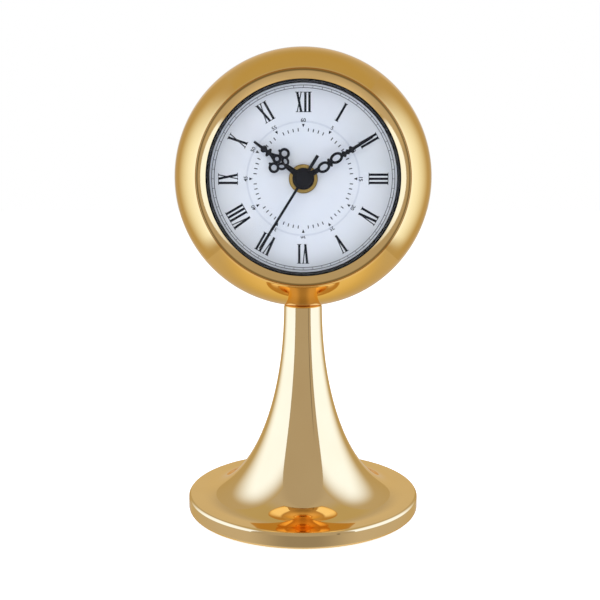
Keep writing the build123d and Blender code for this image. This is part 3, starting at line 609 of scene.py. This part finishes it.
felt = surface(
    "felt",
    pale=(0.045, 0.045, 0.045),
    deep=(0.012, 0.012, 0.013),
    scale=1400,
    rough=(0.9, 1.0),
    relief=0.25 * MM,
)
glass = clear_glass("glass")

NODE_MATERIALS = {
    glass: ("lens",),
    rubber: ("lens_gasket", "grip_ring", "seat_washer"),
    black_plastic: ("insert_cup",),
    nut_brass: ("centre_nut", "centre_bush"),
    hand_lacquer: ("hour_hand", "minute_hand", "second_hand"),
    case_plastic: ("movement_case", "movement_cover"),
    steel: (
        "base_plate",
        "tie_bolt",
        "ball_washer",
        "ball_nut",
        "cover_screws",
        "clutch_washer",
        "contact_positive",
        "contact_negative",
    ),
    bridge_plastic: ("train_bridge", "coil_bobbin"),
    gear_plastic: (
        "intermediate_wheel",
        "second_wheel",
        "third_wheel",
        "centre_wheel",
        "minute_arbor",
        "minute_wheel",
        "hour_wheel",
    ),
    knob_plastic: ("setting_knob",),
    magnet: ("rotor",),
    soft_iron: ("stator", "coil_core"),
    copper: ("coil_winding",),
    board: ("circuit_board",),
    can_metal: ("quartz_can",),
    battery_skin: ("battery",),
    gold_stand: ("pedestal",),
    gold_ball: ("ball_case",),
    gold_bezel: ("bezel",),
    dial_enamel: ("dial",),
    felt: ("felt_pad",),
}
for material, names in NODE_MATERIALS.items():
    for name in names:
        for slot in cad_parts[name].material_slots:
            slot.material = material


# Turned pieces: the polished shells, the felt and the dial


def pedestal_outline():
    """Trumpet, base and the hollow underneath, radius and height."""
    neck_top = BALL_Z - sqrt(SEAT_RADIUS**2 - NECK_RADIUS**2)
    dish_start = BALL_Z - sqrt(SEAT_RADIUS**2 - BOLT_HOLE**2)
    round_radius = NECK_RADIUS - NECK_ROUNDING
    round_reach = SEAT_RADIUS + NECK_ROUNDING
    round_z = BALL_Z - sqrt(round_reach**2 - round_radius**2)
    lean = 90 + degrees(round_radius / round_reach)
    neck = arc((round_radius, round_z), NECK_ROUNDING, lean, 0, NECK_STEPS)
    flare = bezier(
        (NECK_RADIUS, neck_top),
        (NECK_RADIUS, STEM_TOP - NECK_HANDLE),
        (FLARE_RADIUS - FLARE_HANDLE, BASE_HEIGHT),
        (FLARE_RADIUS, BASE_HEIGHT),
        FLARE_STEPS,
    )
    below_neck = [point for point in flare if point[1] < round_z - NECK_ROUNDING / 4]
    edge = BASE_RADIUS - RIM_ROUNDING
    rim = arc((edge, BASE_HEIGHT - RIM_ROUNDING), RIM_ROUNDING, 90, 0, RIM_STEPS)
    rim += arc((edge, FOOT_BOTTOM + RIM_ROUNDING), RIM_ROUNDING, 0, -90, RIM_STEPS)
    recess = PLATE_RADIUS + SLIDE_FIT
    inner = NECK_RADIUS - STAND_WALL
    roof = STEM_TOP - STEM_CAP
    hollow = bezier(
        (PLATE_RADIUS - SHOULDER_WIDTH, PLATE_TOP),
        (FLARE_RADIUS - FLARE_HANDLE - STAND_WALL, PLATE_TOP),
        (inner, STEM_TOP - NECK_HANDLE - STAND_WALL),
        (inner, roof),
        FINE_STEPS,
    )
    underside = [(recess, FOOT_BOTTOM), (recess, PLATE_TOP)]
    bolt_hole = [(BOLT_HOLE, roof), (BOLT_HOLE, dish_start)]
    return neck + below_neck + rim + underside + hollow + bolt_hole


def ball_outline():
    """Ball with a rebated mouth and collar, radius and depth behind the mouth."""
    centre = (0, -SEAM_Y)
    inner_radius = BALL_RADIUS - BALL_WALL
    mouth_angle = degrees(atan2(SEAM_Y, LIP_RADIUS))
    outer = arc(centre, BALL_RADIUS, mouth_angle + LIP_DEGREES, 90, BALL_OUTER_STEPS)
    inside = SEAT_DEPTH + BALL_WALL
    inside_angle = degrees(asin((SEAM_Y + inside) / inner_radius))
    inner = arc(centre, inner_radius, 90, inside_angle, BALL_INNER_STEPS)
    collar_outer = COLLAR_RADIUS + BALL_WALL
    collar_end = SEAT_DEPTH + COLLAR_LENGTH
    mouth = [
        (collar_outer, inside),
        (collar_outer, collar_end),
        (COLLAR_RADIUS, collar_end),
        (COLLAR_RADIUS, SEAT_DEPTH),
        (MOUTH_RADIUS, SEAT_DEPTH),
        (MOUTH_RADIUS, LIP_ROUNDING),
        (MOUTH_RADIUS + LIP_ROUNDING, 0),
    ]
    return outer + inner + mouth


def bezel_outline():
    """Rounded crest, conical face, lip over the glass and skirt, radius and depth behind the mouth."""
    opening = BEZEL_RADIUS - BEZEL_FACE
    crest = BEZEL_RADIUS - BEZEL_ROUND
    face = bezier(
        (BEZEL_RADIUS, -BEZEL_SIDE),
        (BEZEL_RADIUS, -BEZEL_CREST),
        (crest + BEZEL_ROUND / 2, -BEZEL_CREST),
        (crest, -BEZEL_CREST + CREST_DROP),
        BEZEL_STEPS,
    )
    face.append((opening, BEZEL_LIP_FRONT))
    back = [
        (opening, BEZEL_LIP),
        (SKIRT_INNER, BEZEL_LIP),
        (SKIRT_INNER, SKIRT_END),
        (SKIRT_OUTER, SKIRT_END),
        (SKIRT_OUTER, SEAT_DEPTH),
        (BEZEL_RADIUS, SEAT_DEPTH),
    ]
    return face + back


def felt_outline():
    """Die-cut felt disc with a soft lower edge."""
    edge = arc((FELT_RADIUS - FELT_EDGE, FELT_EDGE), FELT_EDGE, -90, 0, FELT_STEPS)
    return [(0, 0)] + edge + [(FELT_RADIUS, FELT_TOP), (0, FELT_TOP)]


def dial_outline():
    """Stamped disc with fine bevels at its edge and bore, radius and depth behind the mouth."""
    face = DIAL_FACE - SEAM_Y
    back = DIAL_BACK - SEAM_Y
    edge = DIAL_RADIUS - DIAL_BEVEL
    return [
        (DIAL_BORE, back),
        (DIAL_BORE, face + DIAL_BEVEL),
        (DIAL_BORE + DIAL_BEVEL, face),
        (edge, face),
        (DIAL_RADIUS, face + DIAL_BEVEL),
        (DIAL_RADIUS, back),
    ]


trumpet = lathe(pedestal_outline(), STAND_AXIS)
add_piece(trumpet, "trumpet_stand", gold_stand, "stand", ("pedestal",))
ball = lathe(ball_outline(), CLOCK_AXIS, BALL_SEGMENTS)
add_piece(ball, "ball_shell", gold_ball, "stand", ("ball_case",))
bezel = lathe(bezel_outline(), CLOCK_AXIS, BALL_SEGMENTS)
add_piece(bezel, "bezel_ring", gold_bezel, "clock_insert", ("bezel",))
disc = lathe(felt_outline(), STAND_AXIS)
felt_disc = add_piece(disc, "felt_disc", felt, "stand", ("felt_pad",))
dial = lathe(dial_outline(), CLOCK_AXIS)
add_piece(dial, "dial_disc", dial_enamel, "clock_insert", ("dial",))


# Dial print: flat shapes in the front view, to the right and up from the dial's centre


def turned_out(points, feet, angle):
    """Points to the right of and above some feet, moved out to a radius and an angle from twelve."""
    turn = radians(angle)
    placed = []
    for right, up in points:
        reach = feet + up
        placed.append((reach * sin(turn) + right * cos(turn), reach * cos(turn) - right * sin(turn)))
    return placed


def add_ink(mesh, outlines):
    """Merges overlapping outlines and raises them off the dial as one thin closed plate."""
    corners = [Vector(point) for outline in outlines for point in outline]
    faces = []
    for outline in outlines:
        start = sum(len(face) for face in faces)
        faces.append(list(range(start, start + len(outline))))
    points, _, triangles, _, _, sources = delaunay_2d_cdt(corners, [], faces, 0, CUT_TOLERANCE)
    inside = [triangle for triangle, source in zip(triangles, sources) if source]
    front = [mesh.verts.new((x, DIAL_FACE - INK_THICKNESS, BALL_Z + z)) for x, z in points]
    back = [mesh.verts.new((x, DIAL_FACE, BALL_Z + z)) for x, z in points]
    borders = {}
    for triangle in inside:
        mesh.faces.new([front[k] for k in triangle])
        mesh.faces.new([back[k] for k in reversed(triangle)])
        for a, b in zip(triangle, triangle[1:] + triangle[:1]):
            key = (min(a, b), max(a, b))
            borders[key] = borders.get(key, 0) + 1
    for (a, b), count in borders.items():
        if count == 1:
            mesh.faces.new((front[a], front[b], back[b], back[a]))
    loose = [vertex for vertex in front + back if not vertex.link_faces]
    bmesh.ops.delete(mesh, geom=loose, context="VERTS")


def print_shapes(name, shapes):
    """One printed piece. Each shape is a list of outlines that may overlap."""
    mesh = bmesh.new()
    for outlines in shapes:
        add_ink(mesh, outlines)
    add_piece(mesh, name, ink_black, "clock_insert")


def stroke(low, high, width):
    """Slanted bar between two points, cut level at both ends."""
    half = width / 2
    return [
        (low[0] - half, low[1]),
        (low[0] + half, low[1]),
        (high[0] + half, high[1]),
        (high[0] - half, high[1]),
    ]


def serif(middle, end, width):
    """Thin level bar at the foot or the head of a stroke."""
    low = min(end, end + (SERIF if end == 0 else -SERIF))
    reach = width / 2 + SERIF_REACH
    return rectangle(middle - reach, middle + reach, low, low + SERIF)


def letter_shapes(letter, left):
    """Outlines of one Roman letter, standing on its feet, from a left edge."""
    top = NUMERAL_HEIGHT
    if letter == "I":
        middle = left + LETTER_I / 2
        bar = stroke((middle, 0), (middle, top), THICK_STROKE)
        return [bar, serif(middle, 0, THICK_STROKE), serif(middle, top, THICK_STROKE)]
    inset = THICK_STROKE / 2 + SERIF_REACH
    start = left + inset
    end = left + LETTER_WIDE - inset
    middle = (start + end) / 2
    if letter == "V":
        return [
            stroke((middle, 0), (start, top), THICK_STROKE),
            stroke((middle, 0), (end, top), THIN_STROKE),
            serif(start, top, THICK_STROKE),
            serif(end, top, THIN_STROKE),
        ]
    return [
        stroke((end, 0), (start, top), THICK_STROKE),
        stroke((start, 0), (end, top), THIN_STROKE),
        serif(start, top, THICK_STROKE),
        serif(end, top, THIN_STROKE),
        serif(start, 0, THIN_STROKE),
        serif(end, 0, THICK_STROKE),
    ]


def numeral_shapes(text, angle):
    """Outlines of one hour numeral, with its feet towards the centre."""
    widths = {"I": LETTER_I, "V": LETTER_WIDE, "X": LETTER_WIDE}
    left = -sum(widths[letter] for letter in text) / 2
    outlines = []
    for letter in text:
        outlines += letter_shapes(letter, left)
        left += widths[letter]
    return [turned_out(outline, NUMERAL_FEET, angle) for outline in outlines]


def minute_track():
    """Minute bars, and a pointer at every five minutes."""
    bar = rectangle(-TICK_WIDTH / 2, TICK_WIDTH / 2, 0, TICK_OUTER - TICK_INNER)
    height = MARK_BASE - MARK_TIP
    pointer = [(0, 0), (MARK_HALF, height), (-MARK_HALF, height)]
    shapes = []
    for minute in range(MINUTES):
        angle = MINUTE_DEGREES * minute
        if minute % MARK_EVERY:
            shapes.append([turned_out(bar, TICK_INNER, angle)])
        else:
            shapes.append([turned_out(pointer, MARK_TIP, angle)])
    return shapes


def edge_ticks():
    """Fine bars across the double circle at the dial's edge, one a minute."""
    outer, inner = TRACK_CIRCLES
    bar = rectangle(-TRACK_TICK / 2, TRACK_TICK / 2, 0, outer - inner)
    return [[turned_out(bar, inner, MINUTE_DEGREES * minute)] for minute in range(MINUTES)]


def circle_line(radius, width):
    """Flat ring of ink on the dial."""
    face = DIAL_FACE - SEAM_Y
    front = face - INK_THICKNESS
    inner = radius - width / 2
    outer = radius + width / 2
    return lathe([(inner, face), (inner, front), (outer, front), (outer, face)], CLOCK_AXIS)


def minute_numbers():
    """Small upright figures outside the pointers, with their feet towards the centre."""
    mesh = bmesh.new()
    for minute in range(MARK_EVERY, MINUTES + 1, MARK_EVERY):
        text = bpy.data.curves.new("figure", "FONT")
        text.body = str(minute)
        text.size = NUMBER_SIZE
        text.align_x = "CENTER"
        text.extrude = INK_THICKNESS / 2
        text.offset = NUMBER_WEIGHT
        text.resolution_u = FIGURE_STEPS
        holder = bpy.data.objects.new("figure", text)
        figure = bpy.data.meshes.new_from_object(holder)
        turn = Matrix.Rotation(radians(MINUTE_DEGREES * minute), 4, "Y")
        place = Matrix.Translation((0, DIAL_FACE - INK_THICKNESS / 2, BALL_Z)) @ turn
        upright = Matrix.Translation((0, 0, NUMBER_FEET)) @ Matrix.Rotation(pi / 2, 4, "X")
        figure.transform(place @ upright)
        mesh.from_mesh(figure)
        bpy.data.objects.remove(holder)
        bpy.data.curves.remove(text)
        bpy.data.meshes.remove(figure)
    bmesh.ops.remove_doubles(mesh, verts=mesh.verts, dist=TINY)
    return mesh


numerals = [numeral_shapes(text, HOUR_DEGREES * hour) for hour, text in enumerate(HOURS)]
print_shapes("hour_numerals", numerals)
print_shapes("minute_track", minute_track())
print_shapes("edge_ticks", edge_ticks())
add_piece(circle_line(GUIDE_RADIUS, GUIDE_LINE), "guide_ring", ink_grey, "clock_insert")
for number, radius in enumerate(TRACK_CIRCLES, start=1):
    ring = circle_line(radius, TRACK_LINE)
    add_piece(ring, f"edge_circle_{number}", ink_black, "clock_insert")
add_piece(minute_numbers(), "minute_numbers", ink_black, "clock_insert")


# Floor and lamps

FLOOR_RADIUS = 4.0
FLOOR_SEGMENTS = 96
FLOOR_GLOW = 0.7


def stage_object(name, mesh, material):
    """Object of the studio, apart from the part."""
    data = bpy.data.meshes.new(name)
    mesh.to_mesh(data)
    mesh.free()
    data.materials.append(material)
    item = bpy.data.objects.new(name, data)
    bpy.context.scene.collection.objects.link(item)
    return item


def add_floor():
    """Pale floor that runs into the background. The metal mirrors the room instead of it."""
    material = surface(
        "floor",
        pale=(0.93, 0.93, 0.93),
        deep=(0.92, 0.92, 0.92),
        scale=3,
        rough=(0.7, 0.8),
        relief=0.01 * MM,
    )
    shader = material.node_tree.nodes["Principled BSDF"]
    shader.inputs["Emission Color"].default_value = (1, 1, 1, 1)
    shader.inputs["Emission Strength"].default_value = FLOOR_GLOW
    mesh = bmesh.new()
    bmesh.ops.create_circle(mesh, cap_ends=True, radius=FLOOR_RADIUS, segments=FLOOR_SEGMENTS)
    stage_object("floor", mesh, material).visible_glossy = False


def add_lamp(name, place, aim, size, power):
    """Large soft lamp that lights matt surfaces and isn't mirrored in the metal."""
    data = bpy.data.lights.new(name, "AREA")
    data.shape = "DISK"
    data.size = size
    data.energy = power
    lamp = bpy.data.objects.new(name, data)
    lamp.location = place
    lamp.rotation_euler = (Vector(aim) - Vector(place)).to_track_quat("-Z", "Y").to_euler()
    lamp.visible_glossy = False
    lamp.visible_camera = False
    bpy.context.scene.collection.objects.link(lamp)


# Side panels: their reach, their colours, and where the glow fades behind, above and below

PANEL_ASIDE = 0.28
PANEL_FRONT = -0.27
PANEL_BACK = 0.60
PANEL_FOOT = -0.08
PANEL_TOP = 0.52
PANEL_GLOW = (1.08, 1.48, 2.60)
PANEL_DIM = (0.50, 0.48, 0.41)
PANEL_BACK_FADE = (0.03, 0.31)
PANEL_TOP_FADE = (0.22, 0.52)
PANEL_FOOT_FADE = (-0.07, 0.0)


def panel_material():
    material = bpy.data.materials.new("side_panel")
    material.use_nodes = True
    tree = material.node_tree
    parts = separated(tree, object_coords(tree))
    fades = (
        soft_step(tree, parts["Y"], *PANEL_BACK_FADE, 1, 0),
        soft_step(tree, parts["Z"], *PANEL_TOP_FADE, 1, 0),
        soft_step(tree, parts["Z"], *PANEL_FOOT_FADE),
    )
    glow = tree.nodes.new("ShaderNodeEmission")
    tree.links.new(ramp(tree, product(tree, fades), PANEL_DIM, PANEL_GLOW), glow.inputs["Color"])
    tree.links.new(glow.outputs["Emission"], tree.nodes["Material Output"].inputs["Surface"])
    return material


def add_side_panels():
    """Tall glowing cloths to the left and right, brightest beside the clock, unseen by the camera."""
    material = panel_material()
    for name, aside in (("panel_left", -PANEL_ASIDE), ("panel_right", PANEL_ASIDE)):
        mesh = bmesh.new()
        edges = rectangle(PANEL_FRONT, PANEL_BACK, PANEL_FOOT, PANEL_TOP)
        mesh.faces.new([mesh.verts.new((aside, y, z)) for y, z in edges])
        stage_object(name, mesh, material).visible_camera = False


# Room: brightness of each region, and the bearings, heights or depths where one gives way to the next

FRONT_LIGHT = 0.45
ROOM_LIGHT = 0.50
BACK_LIGHT = 0.64
FLOOR_FRONT_LIGHT = 0.32
FLOOR_SIDE_LIGHT = 0.56
FLOOR_NEAR_LIGHT = 0.24
SLIT_LIGHT = 0.4
ROOM_WARM = (1.0, 0.93, 0.62)
FRONT_BEARING = (radians(40), radians(70))
BACK_DEPTH = (0.78, 0.95)
FLOOR_BEARING = (radians(10), radians(60))
FLOOR_NEAR_HEIGHT = (radians(-60), radians(-32))
FLOOR_HEIGHT = (radians(-16), radians(-12))
SLIT_START = (radians(31), radians(32.5))
SLIT_END = (radians(34), radians(35.5))
SLIT_FOOT = (radians(-16), radians(-13))
SLIT_TOP = (radians(5), radians(28))
WARM_DEPTH = (-0.1, 0.25)
WARM_HEIGHT = (radians(30), radians(48))


def room_brightness(tree, bearing, height, depth):
    """Light walls, a darker floor in front, and a narrow dark slit at the front right."""
    around = math_node(tree, "ABSOLUTE", bearing)
    room = soft_step(tree, around, *FRONT_BEARING, FRONT_LIGHT, ROOM_LIGHT)
    behind = soft_step(tree, depth, *BACK_DEPTH, 0, BACK_LIGHT - ROOM_LIGHT)
    floor = soft_step(tree, around, *FLOOR_BEARING, FLOOR_FRONT_LIGHT, FLOOR_SIDE_LIGHT)
    near = soft_step(tree, height, *FLOOR_NEAR_HEIGHT, FLOOR_NEAR_LIGHT, 0)
    mix = tree.nodes.new("ShaderNodeMix")
    tree.links.new(soft_step(tree, height, *FLOOR_HEIGHT, 1, 0), mix.inputs["Factor"])
    tree.links.new(math_node(tree, "ADD", room, behind), mix.inputs["A"])
    tree.links.new(math_node(tree, "ADD", floor, near), mix.inputs["B"])
    slit = (
        soft_step(tree, bearing, *SLIT_START),
        soft_step(tree, bearing, *SLIT_END, 1, 0),
        soft_step(tree, height, *SLIT_FOOT),
        soft_step(tree, height, *SLIT_TOP, 1, 0),
    )
    shade = math_node(tree, "MULTIPLY_ADD", product(tree, slit), SLIT_LIGHT - 1, 1)
    return math_node(tree, "MULTIPLY", mix.outputs["Result"], shade)


def room_tint(tree, height, depth):
    """White, and warm high up and low down behind the clock."""
    slope = math_node(tree, "ABSOLUTE", height)
    warm = (soft_step(tree, depth, *WARM_DEPTH), soft_step(tree, slope, *WARM_HEIGHT))
    return ramp(tree, product(tree, warm), (1.0, 1.0, 1.0), ROOM_WARM)


def light_room():
    """Grey room that lights the clock, with a white background for the camera."""
    world = bpy.data.worlds.new("studio")
    world.use_nodes = True
    bpy.context.scene.world = world
    tree = world.node_tree
    parts = separated(tree, tree.nodes.new("ShaderNodeTexCoord").outputs["Generated"])
    depth = parts["Y"]
    bearing = math_node(tree, "ARCTAN2", parts["X"], math_node(tree, "MULTIPLY", depth, -1))
    height = math_node(tree, "ARCSINE", parts["Z"])
    background = tree.nodes["Background"]
    tree.links.new(room_tint(tree, height, depth), background.inputs["Color"])
    tree.links.new(room_brightness(tree, bearing, height, depth), background.inputs["Strength"])
    white = tree.nodes.new("ShaderNodeBackground")
    white.inputs["Color"].default_value = (1, 1, 1, 1)
    path = tree.nodes.new("ShaderNodeLightPath")
    choice = tree.nodes.new("ShaderNodeMixShader")
    tree.links.new(path.outputs["Is Camera Ray"], choice.inputs["Fac"])
    tree.links.new(background.outputs["Background"], choice.inputs[1])
    tree.links.new(white.outputs["Background"], choice.inputs[2])
    tree.links.new(choice.outputs["Shader"], tree.nodes["World Output"].inputs["Surface"])


# Camera

CAMERA_DISTANCE = 405 * MM
CAMERA_HEIGHT = 155.8 * MM
CAMERA_ASIDE = -1.4 * MM
CAMERA_PITCH = 0.138
CAMERA_NEAR = 10 * MM
FOCAL_PIXELS = 872.6
IMAGE_PIXELS = 600
SENSOR = 36.0


def add_camera():
    data = bpy.data.cameras.new("camera")
    data.sensor_width = SENSOR
    data.lens = SENSOR * FOCAL_PIXELS / IMAGE_PIXELS
    data.clip_start = CAMERA_NEAR
    camera = bpy.data.objects.new("camera", data)
    camera.location = (CAMERA_ASIDE, -CAMERA_DISTANCE, CAMERA_HEIGHT)
    camera.rotation_euler = (pi / 2 - CAMERA_PITCH, 0, 0)
    bpy.context.scene.collection.objects.link(camera)
    bpy.context.scene.camera = camera


add_floor()
add_side_panels()
add_lamp("overhead", place=(0, -0.2, 1.6), aim=(0, 0, 0), size=1.4, power=8)
add_lamp("fill", place=(-0.25, -1.1, 0.55), aim=(0, SEAM_Y, BALL_Z), size=0.8, power=2.2)
light_room()
add_camera()
bpy.context.scene.view_settings.view_transform = "Standard"
